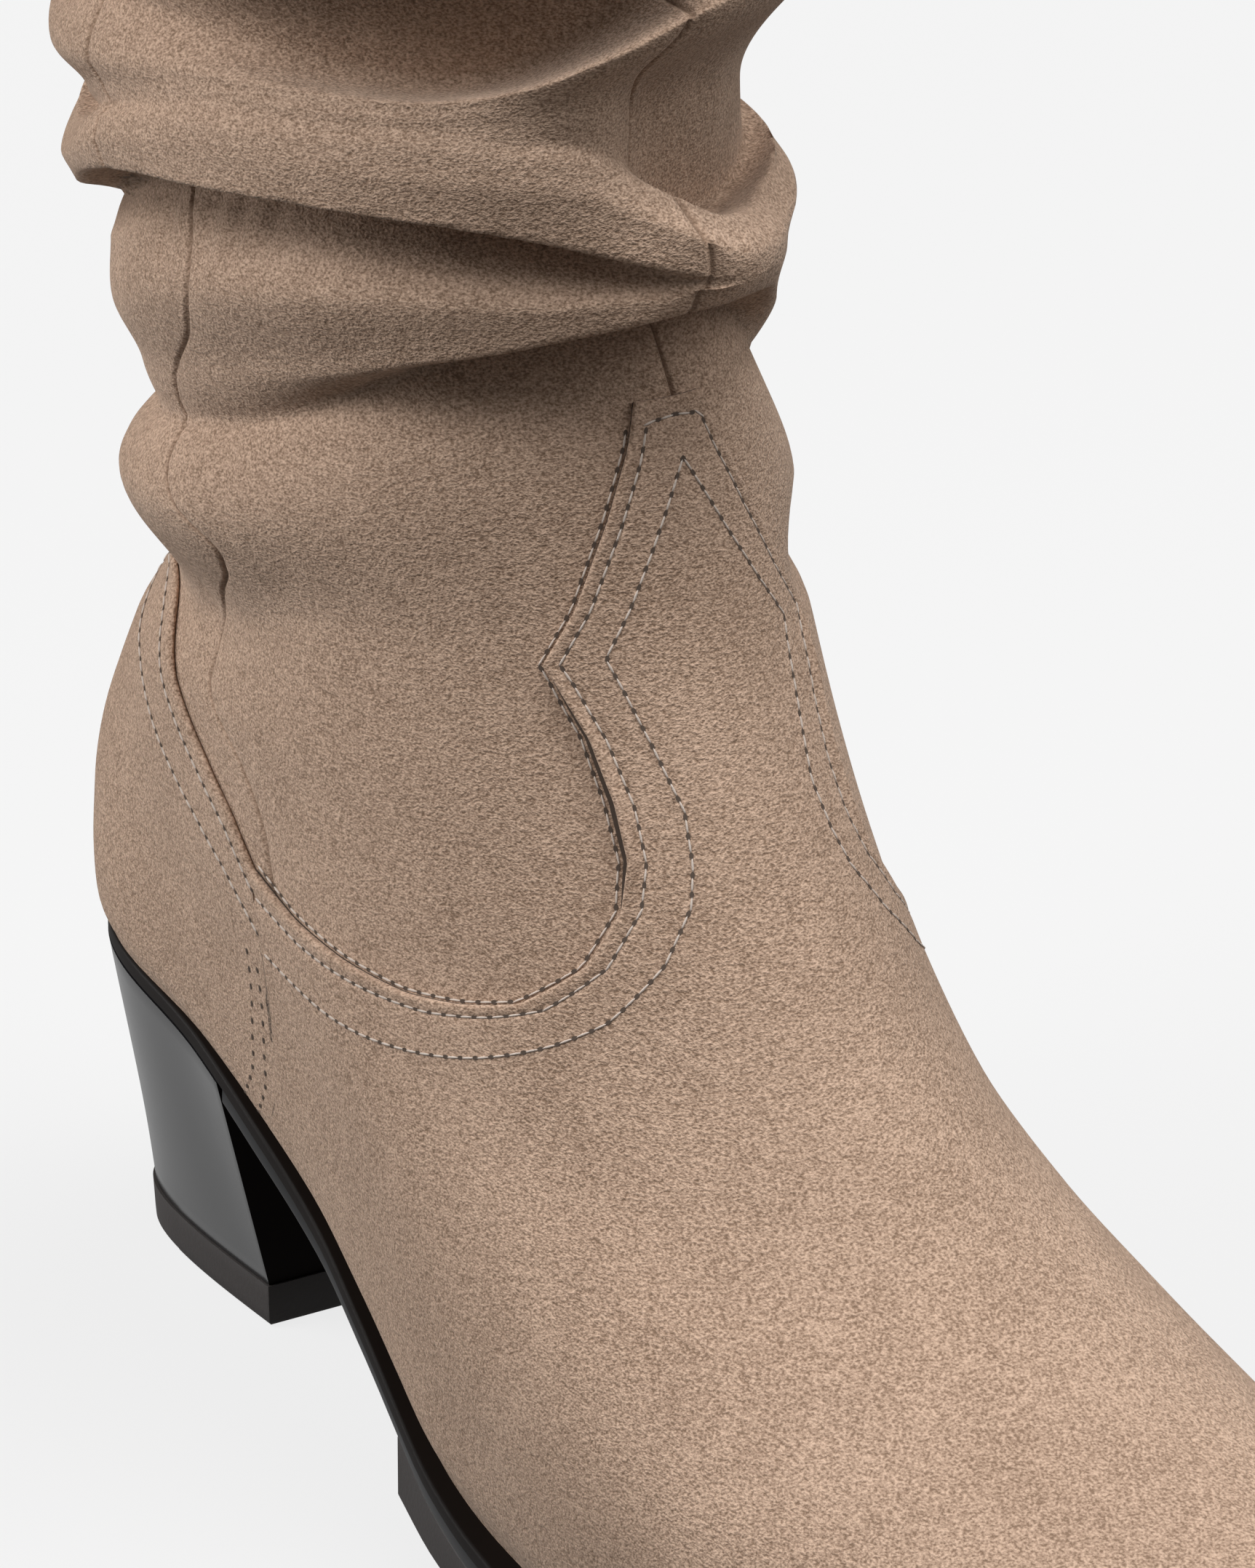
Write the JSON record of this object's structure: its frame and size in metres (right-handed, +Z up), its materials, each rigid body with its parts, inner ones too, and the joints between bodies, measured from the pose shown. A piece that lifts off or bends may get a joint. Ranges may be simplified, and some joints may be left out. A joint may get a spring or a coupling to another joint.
{
  "type": "slouch ankle boot",
  "caption": "Suede slouch boot for the right foot with a western tongue on its vamp, a heel counter, a soft folded shaft and a glossy block heel",
  "frame": {"origin": "on the floor, under the middle of the boot's bounding box", "axes": "+X from heel to toe, +Y to the inside of the foot, +Z up"},
  "size_m": [0.2714, 0.0936, 0.2762],
  "materials": {
    "suede": "napped suede",
    "black_edge": "satin",
    "gloss_black": "gloss",
    "dark_rubber": "matte",
    "insole_leather": "smooth"
  },
  "bodies": {
    "root": {"upper": "suede", "vamp": "suede", "counter": "suede", "welt": "black_edge", "outsole": "gloss_black", "heel_block": "gloss_black", "forefoot_tread": "dark_rubber", "top_lift": "dark_rubber", "insole": "insole_leather"}
  },
  "joints": []
}
